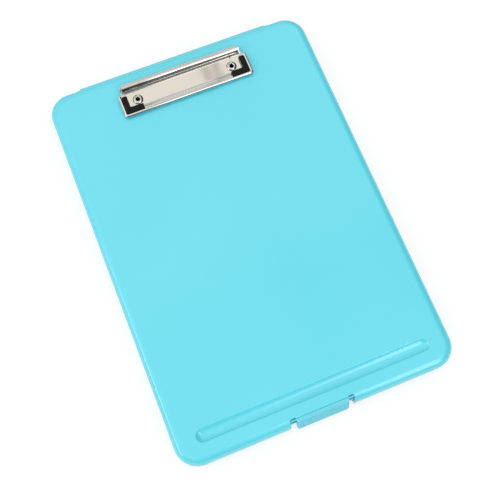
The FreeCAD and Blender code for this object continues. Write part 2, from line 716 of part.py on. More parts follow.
def add_jaw_rail(body, rail_x, bar_y, rail_end):
    """Sweep the round rail along both sides and the front of the jaw."""
    path = new_sketch(body, "rail_path", "XY_Plane", RAIL_Z)
    bend_x = f"({rail_x} - rail_corner)"
    bend_y = f"({bar_y} + rail_corner)"
    points = [
        (f"-{rail_x}", rail_end), (f"-{rail_x}", bend_y), (f"-{bend_x}", bar_y),
        (bend_x, bar_y), (rail_x, bend_y), (rail_x, rail_end),
    ]
    places = [Vector(number(x), number(y), 0) for x, y in points]
    up = Vector(0, 0, 1)
    right_angle = math.pi / 2
    radius = number("rail_corner")
    left_circle = Part.Circle(Vector(places[2].x, places[1].y, 0), up, radius)
    right_circle = Part.Circle(Vector(places[3].x, places[4].y, 0), up, radius)
    left_bend = Part.ArcOfCircle(left_circle, 2 * right_angle, 3 * right_angle)
    right_bend = Part.ArcOfCircle(right_circle, 3 * right_angle, 4 * right_angle)
    pieces = [
        Part.LineSegment(places[0], places[1]),
        left_bend,
        Part.LineSegment(places[2], places[3]),
        right_bend,
        Part.LineSegment(places[4], places[5]),
    ]
    for piece in pieces:
        path.addGeometry(piece)
    for place, (x, y) in enumerate(points):
        geometry, end = (place, START) if place < len(pieces) else (place - 1, END)
        hold(path, "DistanceX", geometry, end, x)
        hold(path, "DistanceY", geometry, end, y)
    for joint in range(len(pieces) - 1):
        path.addConstraint(Sketcher.Constraint("Coincident", joint, END, joint + 1, START))
    hold(path, "DistanceX", pieces.index(left_bend), CENTRE, f"-{bend_x}")
    hold(path, "DistanceX", pieces.index(right_bend), CENTRE, bend_x)
    profile = new_sketch(body, "rail_section", "XZ_Plane", f"-{rail_end}")
    ring(profile, f"-{rail_x}", RAIL_Z, "rail_radius")
    rail = body.newObject("PartDesign::AdditivePipe", "clip_jaw_rail")
    rail.Profile = profile
    rail.Spine = (path, [f"Edge{place}" for place in range(1, len(pieces) + 1)])
    document.recompute()


def make_clip_pivot_rod():
    """Rod through the curl and the ears, headed over at both ends."""
    body = new_body("clip_pivot_rod")
    sketch = new_sketch(body, "shank", "YZ_Plane")
    ring(sketch, CLIP_Y, CLIP_Z, "clip_rod_radius")
    head_x = f"({EAR_X} + clip_sheet + rod_gap)"
    pad(sketch, f"2 * {head_x}", centred=True)
    for side, sign in (("left", "-"), ("right", "")):
        sketch = new_sketch(body, f"{side}_head", "YZ_Plane", f"{sign}{head_x}")
        ring(sketch, CLIP_Y, CLIP_Z, "clip_rod_head_radius")
        pad(sketch, "clip_rod_head", back=side == "left")
    head = number("clip_rod_head_radius")

    def on_outer_rim(edge):
        outside = abs(abs(edge.BoundBox.Center.x) - number(f"{head_x} + clip_rod_head")) < CLOSE
        return outside and abs(edge.BoundBox.YLength - 2 * head) < CLOSE

    round_edges(body, "head_round", on_outer_rim, "clip_rod_head / 2")
    return body


def make_corner_pad(name, mirror):
    """Rubber L on a front corner of the jaw, inside the rail."""
    body = new_body(name)
    out_x = "(jaw_width / 2 - 2 * rail_radius - pad_seat_gap)"
    in_x = "(jaw_width / 2 - 2 * rail_radius - pad_side_arm)"
    end_x = f"({LIP_WIDTH} / 2 + pad_seat_gap)"
    front_y = f"({JAW_FRONT} + 2 * rail_radius + pad_seat_gap)"
    arm_y = f"({JAW_FRONT} + 2 * rail_radius + pad_front_arm)"
    rear_y = f"({front_y} + pad_length)"
    corners = [
        (end_x, front_y), (out_x, front_y), (out_x, rear_y),
        (in_x, rear_y), (in_x, arm_y), (end_x, arm_y),
    ]
    if mirror:
        corners = [(f"-{x}", y) for x, y in reversed(corners)]
    sketch = new_sketch(body, "plan", "XY_Plane", JAW_TOP)
    outline(sketch, corners)
    pad(sketch, "pad_height")
    round_edges(body, "corners", upright, "pad_round")
    top = f"{JAW_TOP} + pad_height"
    round_edges(body, "top_edges", lambda edge: in_plane(edge, "Z", top), "pad_edge_round")
    return body


def place_at_rivet(body, side):
    """Stand a turned piece on the lid at one of the rivet holes."""
    body.setExpression("Placement.Base.x", sized(f"{side}{RIVET_SPACING} / 2"))
    body.setExpression("Placement.Base.y", sized(RIVET_Y))
    body.setExpression("Placement.Base.z", sized("box_height"))


def make_rivet(name, side):
    """Hollow rivet: domed head on the plate, tail rolled over under the washer."""
    body = new_body(name)
    place_at_rivet(body, side)
    seat = "clip_sheet"
    crown = f"({seat} + rivet_head_height)"
    tail_top = "(-wall - washer_height)"
    tail_low = f"({tail_top} - rivet_tail)"
    tail_x = "(rivet_tail_radius - rivet_tail / 2)"
    tail_z = f"({tail_top} - rivet_tail / 2)"
    sketch = new_sketch(body, "profile", "XZ_Plane")
    dome_x = "(rivet_bore + 2 * rivet_head_rim)"
    dome_run = f"(rivet_head_radius - {dome_x})"
    dome_rise = "(rivet_head_height - rivet_head_rim)"
    dome_squares = f"({dome_run} * {dome_run} + {dome_rise} * {dome_rise})"
    dome_z = f"({crown} - {dome_squares} / (2 * {dome_rise}))"
    outline(sketch, [
        ("rivet_bore", tail_low),
        (tail_x, tail_low),
        (tail_x, tail_top, tail_x, tail_z, "left"),
        ("rivet_radius", tail_top),
        ("rivet_radius", seat),
        ("rivet_head_radius", seat),
        ("rivet_head_radius", f"{seat} + rivet_head_rim"),
        (dome_x, crown, dome_x, dome_z, "left"),
        ("rivet_bore + rivet_head_rim", crown),
        ("rivet_bore", f"{crown} - rivet_head_rim"),
    ])
    turned = body.newObject("PartDesign::Revolution", f"{name}_turned")
    turned.Profile = sketch
    turned.ReferenceAxis = (origin_part(body, "Z_Axis"), [""])
    document.recompute()
    return body


def make_washer(name, side):
    """Washer between the lid's underside and the rivet's tail."""
    body = new_body(name)
    place_at_rivet(body, side)
    sketch = new_sketch(body, "plan", "XY_Plane", "-wall - washer_height")
    ring(sketch, "0", "0", "washer_radius")
    ring(sketch, "0", "0", "rivet_radius + rivet_gap / 2")
    pad(sketch, "washer_height")
    return body


def arc_between(start, corner, end):
    """Arc from start to end, tangent to the two equal runs that meet at the corner."""
    middle = (start + end) / 2
    half = (end - start).Length / 2
    rise = (corner - middle).Length
    sagitta = half * math.tan(math.atan2(rise, half) / 2)
    crest = middle + (corner - middle) * (sagitta / rise)
    return Part.Arc(start, crest, end).toShape()


def coil_edges(place, heading, count):
    """Two arcs for each quarter turn of a coil, smooth from end to end."""
    edges = []
    for quarter in range(count):
        start, end = place(quarter), place(quarter + 1)
        out, back = heading(quarter), heading(quarter + 1)
        span = end - start
        blend = 2 * (1 - out.dot(back))
        along = span.dot(out + back)
        reach = (math.sqrt(along * along + blend * span.dot(span)) - along) / blend
        first = start + out * reach
        second = end - back * reach
        joint = (first + second) / 2
        edges.append(arc_between(start, first, joint))
        edges.append(arc_between(joint, second, end))
    return edges


def make_clip_spring(name, side):
    """Torsion spring: coils on the rod, and one leg that lies forward over the plate."""
    wire = number("spring_wire_radius")
    coil = number("clip_rod_radius + spring_rod_gap + spring_wire_radius")
    pitch = number("spring_pitch")
    turns = number("spring_turns")
    centre = Vector(0, number(CLIP_Y), number(CLIP_Z))
    inner_x = number(f"{CURL_SPAN} / 2 - spring_end_gap") - turns * pitch
    quarters_in_turn = 4
    quarter_turn = 2 * math.pi / quarters_in_turn
    climb = pitch / quarters_in_turn

    def place(quarter):
        angle = (quarter - 1) * quarter_turn
        x = side * (inner_x + quarter * climb)
        return centre + Vector(x, coil * math.cos(angle), coil * math.sin(angle))

    def heading(quarter):
        angle = quarter * quarter_turn
        run = Vector(side * climb / quarter_turn, coil * math.cos(angle), coil * math.sin(angle))
        return run.normalize()

    start = place(0)
    out = heading(0)
    leg_end = start - out * number("spring_leg")
    leg = Part.LineSegment(leg_end, start).toShape()
    edges = [leg] + coil_edges(place, heading, int(turns * quarters_in_turn))
    section = Part.Wire(Part.Circle(leg_end, out, wire).toShape())
    tube = Part.Wire(edges).makePipeShell([section], True, False)
    spring = document.addObject("Part::Feature", name)
    spring.Label = name
    spring.Shape = tube
    spring.Placement = FreeCAD.Placement()
    print(f"{name}: least gap between turns {pitch - 2 * wire:.2f}, volume {tube.Volume:.2f}, "
          f"section times length {math.pi * wire ** 2 * sum(edge.Length for edge in edges):.2f}")
    return spring


parts = [
    make_base_tray(),
    make_lid(),
    make_hinge_rod(),
    make_latch_flap(),
    make_latch_pin(),
    make_clip_base_plate(),
    make_clip_jaw(),
    make_clip_pivot_rod(),
    make_clip_spring("clip_spring_left", -1),
    make_clip_spring("clip_spring_right", 1),
    make_corner_pad("corner_pad_left", True),
    make_corner_pad("corner_pad_right", False),
    make_rivet("rivet_left", "-"),
    make_rivet("rivet_right", ""),
    make_washer("rivet_washer_left", "-"),
    make_washer("rivet_washer_right", ""),
]
document.removeObject(gauge.Name)
document.recompute()

for thing in document.Objects:
    if "Invalid" in thing.State or "Error" in thing.State:
        raise RuntimeError(f"{thing.Name} did not build: {thing.State}")
for piece in parts:
    if piece.Shape.isNull() or not piece.Shape.isValid():
        raise RuntimeError(f"{piece.Label} is not a valid shape")
    if len(piece.Shape.Solids) != 1:
        raise RuntimeError(f"{piece.Label} has {len(piece.Shape.Solids)} solids")

os.makedirs("parts", exist_ok=True)
for piece in parts:
    piece.Shape.exportStep(os.path.join("parts", f"{piece.Label}.step"))
    box = piece.Shape.BoundBox
    print(f"{piece.Label}: volume {piece.Shape.Volume:.1f}, "
          f"x {box.XMin:.2f} to {box.XMax:.2f}, y {box.YMin:.2f} to {box.YMax:.2f}, "
          f"z {box.ZMin:.2f} to {box.ZMax:.2f}")
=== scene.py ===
"""Looks of the storage clipboard box: its materials, and the light and camera that show it.

Lengths are in metres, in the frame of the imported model: X is the width, +Y points to the
hinge and +Z is up out of the writing board.
"""

import math

import bpy
from mathutils import Matrix, Vector


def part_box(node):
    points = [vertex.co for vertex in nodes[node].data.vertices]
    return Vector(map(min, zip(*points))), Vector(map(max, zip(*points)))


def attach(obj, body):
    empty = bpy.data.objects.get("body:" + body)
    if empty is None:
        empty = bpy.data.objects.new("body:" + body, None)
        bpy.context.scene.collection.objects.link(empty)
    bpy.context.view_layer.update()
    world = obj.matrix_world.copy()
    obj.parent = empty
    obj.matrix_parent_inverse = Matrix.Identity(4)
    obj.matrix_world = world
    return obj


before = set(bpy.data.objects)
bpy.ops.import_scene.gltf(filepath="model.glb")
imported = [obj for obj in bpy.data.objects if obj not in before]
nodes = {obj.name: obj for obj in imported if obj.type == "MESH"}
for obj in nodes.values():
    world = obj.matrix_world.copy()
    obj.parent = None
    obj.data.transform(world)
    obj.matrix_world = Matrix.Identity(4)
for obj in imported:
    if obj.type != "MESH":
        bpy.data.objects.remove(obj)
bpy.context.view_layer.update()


# The case: a tray and a lid of one turquoise polypropylene, each moulded in one shot.
# The moulds are spark eroded all over, which leaves a satin grain too fine to feel,
# and the gloss of the surface drifts a little with how the plastic cooled.
CASE_COLOUR = (0.136, 0.742, 0.874)
CASE_SHADE = (0.125, 0.724, 0.857)
CASE_ROUGHNESS = (0.14, 0.19)
CASE_SHEEN = 1.0
PLASTIC_IOR = 1.49
PLASTIC_GRAIN_SIZE = 0.00035
PLASTIC_GRAIN_DEPTH = 0.000008
PLASTIC_PATCH_SIZE = 0.09
PLASTIC_GLOSS_SIZE = PLASTIC_PATCH_SIZE / 4
GRAIN_DETAIL = 3.0
PATCH_DETAIL = 4.0
NOISE_MIDDLE = (0.3, 0.7)
MIX_COLOUR_SOCKETS = (6, 7)
MIX_RESULT_SOCKET = 2


def start_material(name):
    """Make an empty material with a Principled shader; give it, its tree and the shader."""
    material = bpy.data.materials.new(name)
    material.use_nodes = True
    tree = material.node_tree
    tree.nodes.clear()
    shader = tree.nodes.new("ShaderNodeBsdfPrincipled")
    output = tree.nodes.new("ShaderNodeOutputMaterial")
    tree.links.new(shader.outputs["BSDF"], output.inputs["Surface"])
    return material, tree, shader


def add_node(tree, kind, **settings):
    """Add a node of that kind with those settings."""
    node = tree.nodes.new(kind)
    for name, value in settings.items():
        setattr(node, name, value)
    return node


def add_noise(tree, size, detail=2.0, stretch=(1.0, 1.0, 1.0)):
    """Noise whose lumps are about that size in metres, stretched along the axes."""
    place = add_node(tree, "ShaderNodeTexCoord")
    mapping = add_node(tree, "ShaderNodeMapping")
    mapping.inputs["Scale"].default_value = [1 / (size * along) for along in stretch]
    noise = add_node(tree, "ShaderNodeTexNoise")
    noise.inputs["Scale"].default_value = 1.0
    noise.inputs["Detail"].default_value = detail
    tree.links.new(place.outputs["Object"], mapping.inputs["Vector"])
    tree.links.new(mapping.outputs["Vector"], noise.inputs["Vector"])
    return noise.outputs["Fac"]


def spread(tree, value, low, high, start=NOISE_MIDDLE[0], stop=NOISE_MIDDLE[1]):
    """Map a value's range, by default the middle of a noise's, to the low and high limits."""
    node = add_node(tree, "ShaderNodeMapRange")
    node.inputs["From Min"].default_value = start
    node.inputs["From Max"].default_value = stop
    node.inputs["To Min"].default_value = low
    node.inputs["To Max"].default_value = high
    tree.links.new(value, node.inputs["Value"])
    return node.outputs["Result"]


def blend_colours(tree, share, first, second):
    """Mix two colours by a share, 0 for only the first and 1 for only the second."""
    node = add_node(tree, "ShaderNodeMix", data_type="RGBA")
    tree.links.new(share, node.inputs["Factor"])
    for number, colour in zip(MIX_COLOUR_SOCKETS, (first, second)):
        node.inputs[number].default_value = (*colour, 1.0)
    return node.outputs[MIX_RESULT_SOCKET]


def add_bump(tree, shader, height, depth):
    """Raise the surface by a height of 0 to 1 times the depth in metres."""
    bump = add_node(tree, "ShaderNodeBump")
    bump.inputs["Strength"].default_value = 1.0
    bump.inputs["Distance"].default_value = depth
    tree.links.new(height, bump.inputs["Height"])
    tree.links.new(bump.outputs["Normal"], shader.inputs["Normal"])


def moulded_plastic(name, colour, shade, roughness, sheen):
    """Plastic with drifting colour and gloss, and the fine grain of its mould."""
    material, tree, shader = start_material(name)
    patches = spread(tree, add_noise(tree, PLASTIC_PATCH_SIZE), 0.0, 1.0)
    tree.links.new(blend_colours(tree, patches, colour, shade), shader.inputs["Base Color"])
    gloss_noise = add_noise(tree, PLASTIC_GLOSS_SIZE, PATCH_DETAIL)
    tree.links.new(spread(tree, gloss_noise, *roughness), shader.inputs["Roughness"])
    shader.inputs["IOR"].default_value = PLASTIC_IOR
    shader.inputs["Specular IOR Level"].default_value = sheen
    grain = add_noise(tree, PLASTIC_GRAIN_SIZE, GRAIN_DETAIL)
    add_bump(tree, shader, grain, PLASTIC_GRAIN_DEPTH)
    return material


def dress(node, material):
    """Give every slot of a CAD node the material."""
    for slot in nodes[node].material_slots:
        slot.material = material


case_plastic = moulded_plastic("case_plastic", CASE_COLOUR, CASE_SHADE,
                               CASE_ROUGHNESS, CASE_SHEEN)
dress("base_tray", case_plastic)
dress("lid", case_plastic)


# Two thin ribs moulded with the lid along the rear of its notch. The hood at the top
# reaches over the flap's barrel, and the lap at the foot over the tray's wall, so that
# no slit into the case shows from above.
NOTCH_DEPTH = 0.0067
NOTCH_HALF_WIDTH = 0.0277
LID_EDGE_ROUND = 0.007
RIB_ROOT = 0.0002
HOOD_REACH = 0.0007
HOOD_HEIGHT = 0.0007
HOOD_END_GAP = 0.0002
HOOD_FRONT_ROUND = 0.00012
HOOD_STEPS = 6
TRAY_WALL_TOP = 0.011
LAP_REACH = 0.0013
LAP_HEIGHT = 0.0008
LAP_GAP = 0.00015


def add_rib(name, profile, half_width):
    """Run a profile of (y, z) corners along the width, and fix it to the lid."""
    count = len(profile)
    points = [(x, y, z) for x in (-half_width, half_width) for y, z in profile]
    sides = []
    for here in range(count):
        after = (here + 1) % count
        sides.append((here, after, count + after, count + here))
    ends = [tuple(reversed(range(count))), tuple(range(count, 2 * count))]
    mesh = bpy.data.meshes.new(name)
    mesh.from_pydata(points, [], sides + ends)
    mesh.materials.append(case_plastic)
    rib = bpy.data.objects.new(name, mesh)
    bpy.context.scene.collection.objects.link(rib)
    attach(rib, "lid")


def lid_height(y):
    """Height of the lid's top, which rounds off towards the front edge."""
    low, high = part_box("lid")
    ahead = min(y - low[1] - LID_EDGE_ROUND, 0.0)
    return high[2] - LID_EDGE_ROUND + math.sqrt(LID_EDGE_ROUND ** 2 - ahead ** 2)


def add_hood(wall_y):
    """The upper rib, whose top follows the lid's rounding and whose front edge is rounded."""
    front_y = wall_y - HOOD_REACH
    root_y = wall_y + RIB_ROOT
    round_end = front_y + HOOD_FRONT_ROUND
    corner_cut = HOOD_FRONT_ROUND / 4
    low_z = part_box("lid")[1][2] - HOOD_HEIGHT
    profile = [(front_y, low_z), (root_y, low_z), (root_y, lid_height(wall_y) - RIB_ROOT)]
    for step in range(HOOD_STEPS + 1):
        y = wall_y + (round_end - wall_y) * step / HOOD_STEPS
        profile.append((y, lid_height(y)))
    profile.append((front_y + corner_cut, lid_height(front_y) - corner_cut))
    profile.append((front_y, lid_height(front_y) - HOOD_FRONT_ROUND))
    add_rib("notch_hood", profile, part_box("latch_flap")[1][0] + HOOD_END_GAP)


def add_lap(wall_y):
    """The lower rib, a flat ledge with its upper front edge taken off."""
    front_y = wall_y - LAP_REACH
    root_y = wall_y + RIB_ROOT
    low_z = TRAY_WALL_TOP + LAP_GAP
    high_z = low_z + LAP_HEIGHT
    profile = [(front_y, low_z), (root_y, low_z), (root_y, high_z),
               (front_y + RIB_ROOT, high_z), (front_y, high_z - RIB_ROOT)]
    add_rib("notch_lap", profile, NOTCH_HALF_WIDTH)


notch_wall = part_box("lid")[0][1] + NOTCH_DEPTH
add_hood(notch_wall)
add_lap(notch_wall)


# The latch flap and the pin that it turns on: two small mouldings of the same plastic
# out of their own mould, which is eroded more coarsely, so they are duller. Their colour
# is painted a little deeper than the case's, as painted shade for the flap sunk in its notch.
# The pin is pressed through the flap into the notch's sides.
# Painted shade: a slightly deeper copy of the case's colour.
FLAP_COLOUR = (0.148, 0.722, 0.858)
FLAP_SHADE = (0.134, 0.698, 0.832)
FLAP_ROUGHNESS = (0.38, 0.46)
FLAP_SHEEN = 0.6

flap_plastic = moulded_plastic("flap_plastic", FLAP_COLOUR, FLAP_SHADE,
                               FLAP_ROUGHNESS, FLAP_SHEEN)
dress("latch_flap", flap_plastic)
dress("latch_pin", flap_plastic)


# The hinge rod: bright drawn steel cut to length, pushed through the knuckles and left
# bare, with the fine lines of the drawing die along it.
STEEL_COLOUR = (0.58, 0.575, 0.56)
STEEL_SHADE = (0.47, 0.465, 0.45)
STEEL_ROUGHNESS = 0.28
DRAWN_LINE_SIZE = 0.0002
DRAWN_LINE_LENGTH = 60.0
DRAWN_LINE_DEPTH = 0.000006
DRAWN_GLOSS_DRIFT = 0.05


def drawn_steel(name, colour, shade, roughness):
    """Bare steel with drawing lines along X that drift in tone and gloss."""
    material, tree, shader = start_material(name)
    lines = add_noise(tree, DRAWN_LINE_SIZE, stretch=(DRAWN_LINE_LENGTH, 1.0, 1.0))
    tint = spread(tree, lines, 0.0, 1.0)
    tree.links.new(blend_colours(tree, tint, colour, shade), shader.inputs["Base Color"])
    shader.inputs["Metallic"].default_value = 1.0
    gloss = spread(tree, lines, roughness - DRAWN_GLOSS_DRIFT, roughness + DRAWN_GLOSS_DRIFT)
    tree.links.new(gloss, shader.inputs["Roughness"])
    add_bump(tree, shader, lines, DRAWN_LINE_DEPTH)
    return material


dress("hinge_rod", drawn_steel("bright_rod", STEEL_COLOUR, STEEL_SHADE, STEEL_ROUGHNESS))


# The clip's base plate and the rod inside its curl: sheet and wire of mild steel, bent,
# then bright nickel plated in a barrel. The plate is warm in tone and keeps faint rolling
# lines along its length. Its flat is never quite flat, so it bends what it reflects.
NICKEL_COLOUR = (0.80, 0.775, 0.735)
NICKEL_SHADE = (0.77, 0.745, 0.705)
NICKEL_ROUGHNESS = 0.03
NICKEL_GLOSS_DRIFT = 0.04
NICKEL_LINE_SIZE = 0.0003
NICKEL_LINE_LENGTH = 80.0
NICKEL_WAVE_SIZE = 0.022
NICKEL_WAVE_DEPTH = 0.00003
# Painted shade: how much darker the plate is painted along its front edge by the jaw's flange,
# and over what span of Y.
PLATE_PAINTED_SHADE = 0.45
PLATE_PAINTED_SHADE_Y = (0.1321, 0.1345)
PLATE_DULL_Y = (0.1489, 0.1495)
PLATE_DULL_Z = (0.0229, 0.0232)
PLATE_ROUGHNESS = (0.04, 0.60)


def nickel_plate(name, roughness, wave_size, wave_depth):
    """Plated steel with rolling lines and a faint wave; give it, its tree and the shader."""
    material, tree, shader = start_material(name)
    lines = add_noise(tree, NICKEL_LINE_SIZE, stretch=(NICKEL_LINE_LENGTH, 1.0, 1.0))
    tint = spread(tree, lines, 0.0, 1.0)
    colour = blend_colours(tree, tint, NICKEL_COLOUR, NICKEL_SHADE)
    tree.links.new(colour, shader.inputs["Base Color"])
    shader.inputs["Metallic"].default_value = 1.0
    gloss = spread(tree, lines, roughness, roughness + NICKEL_GLOSS_DRIFT)
    tree.links.new(gloss, shader.inputs["Roughness"])
    add_bump(tree, shader, add_noise(tree, wave_size), wave_depth)
    return material, tree, shader


def split_place(tree, kind="Object"):
    """The X, Y and Z of the shaded place, or of the direction with the kind Generated."""
    place = add_node(tree, "ShaderNodeTexCoord")
    split = add_node(tree, "ShaderNodeSeparateXYZ")
    tree.links.new(place.outputs[kind], split.inputs["Vector"])
    return split.outputs


def join_values(tree, operation, first, second):
    """Join two values, each a number or a socket, by a mathematical operation."""
    node = add_node(tree, "ShaderNodeMath", operation=operation)
    for socket, value in zip(node.inputs, (first, second)):
        if isinstance(value, (int, float)):
            socket.default_value = value
        else:
            tree.links.new(value, socket)
    return node.outputs["Value"]


def shade_and_dull_plate(tree, shader):
    """Paint shade on the plate along its front edge by the jaw's flange, and dull it in front of
    the roll.
    """
    place = split_place(tree)
    colour = shader.inputs["Base Color"].links[0].from_socket
    # Painted shade: darken the plate's colour along its front edge, where the gap under the jaw's
    # flange lies in shade.
    out_of_shade = spread(tree, place["Y"], PLATE_PAINTED_SHADE, 1.0, *PLATE_PAINTED_SHADE_Y)
    darker = add_node(tree, "ShaderNodeVectorMath", operation="SCALE")
    tree.links.new(colour, darker.inputs["Vector"])
    tree.links.new(out_of_shade, darker.inputs["Scale"])
    tree.links.new(darker.outputs["Vector"], shader.inputs["Base Color"])
    near_roll = spread(tree, place["Y"], 0.0, 1.0, *PLATE_DULL_Y)
    on_flat = spread(tree, place["Z"], 1.0, 0.0, *PLATE_DULL_Z)
    dull = join_values(tree, "MULTIPLY", near_roll, on_flat)
    tree.links.new(spread(tree, dull, *PLATE_ROUGHNESS, 0.0, 1.0), shader.inputs["Roughness"])


plate_nickel, plate_tree, plate_shader = nickel_plate(
    "plate_nickel", NICKEL_ROUGHNESS, NICKEL_WAVE_SIZE, NICKEL_WAVE_DEPTH)
shade_and_dull_plate(plate_tree, plate_shader)
dress("clip_base_plate", plate_nickel)
dress("clip_pivot_rod", plate_nickel)


# The clip's jaw: one pressing of the same sheet, with its edge curled into a round bead,
# plated like the plate. The flats behind the bead are painted greyer and the bead brighter, as
# painted reflection and highlight.
JAW_FLAT_COLOUR = (0.60, 0.615, 0.60)
JAW_BEAD_COLOUR = (0.88, 0.88, 0.86)
JAW_BEAD_Z = (0.0249, 0.0253)


def brighten_bead(tree, shader):
    """Paint the jaw's flats greyer and its bead brighter by height, as painted reflection and
    highlight.
    """
    on_bead = spread(tree, split_place(tree)["Z"], 0.0, 1.0, *JAW_BEAD_Z)
    # Painted reflection: the flats below the bead get the greyer colour and the bead the brighter
    # one.
    toned = blend_colours(tree, on_bead, JAW_FLAT_COLOUR, JAW_BEAD_COLOUR)
    tree.links.new(toned, shader.inputs["Base Color"])


jaw_nickel, jaw_tree, jaw_shader = nickel_plate(
    "jaw_nickel", NICKEL_ROUGHNESS, NICKEL_WAVE_SIZE, NICKEL_WAVE_DEPTH)
brighten_bead(jaw_tree, jaw_shader)
dress("clip_jaw", jaw_nickel)


# Two hollow rivets and their washers hold the clip to the lid. They are of the same
# plated steel, a little duller than the plate, and dented by the tool that set them.
RIVET_ROUGHNESS = 0.05
RIVET_DENT_SIZE = 0.0011
RIVET_DENT_DEPTH = 0.00012

rivet_nickel = nickel_plate("rivet_nickel", RIVET_ROUGHNESS, RIVET_DENT_SIZE, RIVET_DENT_DEPTH)[0]
for side in ("left", "right"):
    dress(f"rivet_{side}", rivet_nickel)
    dress(f"rivet_washer_{side}", rivet_nickel)


# The two torsion springs on the rod: hard drawn music wire wound cold, a little darker
# than the plating, with the fine lines of the drawing die.
WIRE_COLOUR = (0.62, 0.61, 0.59)
WIRE_SHADE = (0.50, 0.49, 0.475)
WIRE_ROUGHNESS = 0.24

spring_wire = drawn_steel("spring_wire", WIRE_COLOUR, WIRE_SHADE, WIRE_ROUGHNESS)
for side in ("left", "right"):
    dress(f"clip_spring_{side}", spring_wire)


# The corner pads: black rubber pressed in a grained mould and pushed over the jaw's
# corners. The grain dulls the tops, and handling leaves them a little shinier in places.
RUBBER_COLOUR = (0.0055, 0.0055, 0.0065)
RUBBER_SHADE = (0.0095, 0.0095, 0.0110)
RUBBER_ROUGHNESS = (0.62, 0.50)
RUBBER_IOR = 1.5
RUBBER_SHEEN = 0.2
RUBBER_GRAIN_SIZE = 0.0004
RUBBER_GRAIN_DEPTH = 0.00004
RUBBER_RUB_SIZE = 0.004


def pad_rubber(name):
    """Grained black rubber, paler and shinier in patches where it is rubbed."""
    material, tree, shader = start_material(name)
    rubs = spread(tree, add_noise(tree, RUBBER_RUB_SIZE, PATCH_DETAIL), 0.0, 1.0)
    colour = blend_colours(tree, rubs, RUBBER_COLOUR, RUBBER_SHADE)
    tree.links.new(colour, shader.inputs["Base Color"])
    tree.links.new(spread(tree, rubs, *RUBBER_ROUGHNESS, 0.0, 1.0), shader.inputs["Roughness"])
    shader.inputs["IOR"].default_value = RUBBER_IOR
    shader.inputs["Specular IOR Level"].default_value = RUBBER_SHEEN
    grain = add_noise(tree, RUBBER_GRAIN_SIZE, GRAIN_DETAIL)
    add_bump(tree, shader, grain, RUBBER_GRAIN_DEPTH)
    return material


black_rubber = pad_rubber("black_rubber")
for side in ("left", "right"):
    dress(f"corner_pad_{side}", black_rubber)


# The table that the case lies on: one white laminate sheet, wide enough for every view.
# It takes the case's shadow, and glows a little so that it photographs as plain white.
TABLE_HALF = 3.0
TABLE_COLOUR = (0.42, 0.42, 0.42)
TABLE_SHADE = (0.40, 0.40, 0.40)
TABLE_PATCH_SIZE = 0.2
TABLE_ROUGHNESS = (0.85, 0.90)
TABLE_GLOW = 0.64


def seen_as_backdrop(tree):
    """Give 1 for a ray that sees the table directly, in a mirror or through glass, else 0."""
    light_path = add_node(tree, "ShaderNodeLightPath")
    seen = light_path.outputs["Is Camera Ray"]
    for kind in ("Is Glossy Ray", "Is Transmission Ray"):
        seen = join_values(tree, "MAXIMUM", seen, light_path.outputs[kind])
    return seen


def white_laminate():
    """Matt white sheet that takes shadows, and glows only for a ray that sees it."""
    material, tree, shader = start_material("white_laminate")
    patches = spread(tree, add_noise(tree, TABLE_PATCH_SIZE), 0.0, 1.0)
    colour = blend_colours(tree, patches, TABLE_COLOUR, TABLE_SHADE)
    tree.links.new(colour, shader.inputs["Base Color"])
    tree.links.new(spread(tree, patches, *TABLE_ROUGHNESS, 0.0, 1.0), shader.inputs["Roughness"])
    shader.inputs["Specular IOR Level"].default_value = 0.0
    shader.inputs["Emission Color"].default_value = (1.0, 1.0, 1.0, 1.0)
    glow = join_values(tree, "MULTIPLY", seen_as_backdrop(tree), TABLE_GLOW)
    tree.links.new(glow, shader.inputs["Emission Strength"])
    return material


def make_table():
    """One flat square sheet at the height of the case's underside."""
    corners = [(-TABLE_HALF, -TABLE_HALF, 0), (TABLE_HALF, -TABLE_HALF, 0),
               (TABLE_HALF, TABLE_HALF, 0), (-TABLE_HALF, TABLE_HALF, 0)]
    mesh = bpy.data.meshes.new("table")
    mesh.from_pydata(corners, [], [(0, 1, 2, 3)])
    mesh.materials.append(white_laminate())
    table = bpy.data.objects.new("table", mesh)
    bpy.context.scene.collection.objects.link(table)
    return table


make_table()


# The studio lamps: two soft boxes over the table, a tall one in front of the case at its
# right and a wide, low one at its left. Each is turned to the middle of the case.
FRONT_BOX_PLACE = (0.54, -1.18, 1.02)
FRONT_BOX_SIZE = (0.44, 0.90)
FRONT_BOX_POWER = 2.7
SIDE_BOX_PLACE = (-1.42, -0.08, 0.70)
SIDE_BOX_SIZE = (1.20, 0.30)
SIDE_BOX_POWER = 2.9


def make_soft_box(name, place, size, power):
    """A rectangular lamp at that place, turned to the middle of the case."""
    lamp = bpy.data.lights.new(name, "AREA")
    lamp.shape = "RECTANGLE"
    lamp.size, lamp.size_y = size
    lamp.energy = power
    box = bpy.data.objects.new(name, lamp)
    bpy.context.scene.collection.objects.link(box)
    box.location = place
    box.rotation_euler = (-box.location).to_track_quat("-Z", "Y").to_euler()


make_soft_box("front_box", FRONT_BOX_PLACE, FRONT_BOX_SIZE, FRONT_BOX_POWER)
make_soft_box("side_box", SIDE_BOX_PLACE, SIDE_BOX_SIZE, SIDE_BOX_POWER)


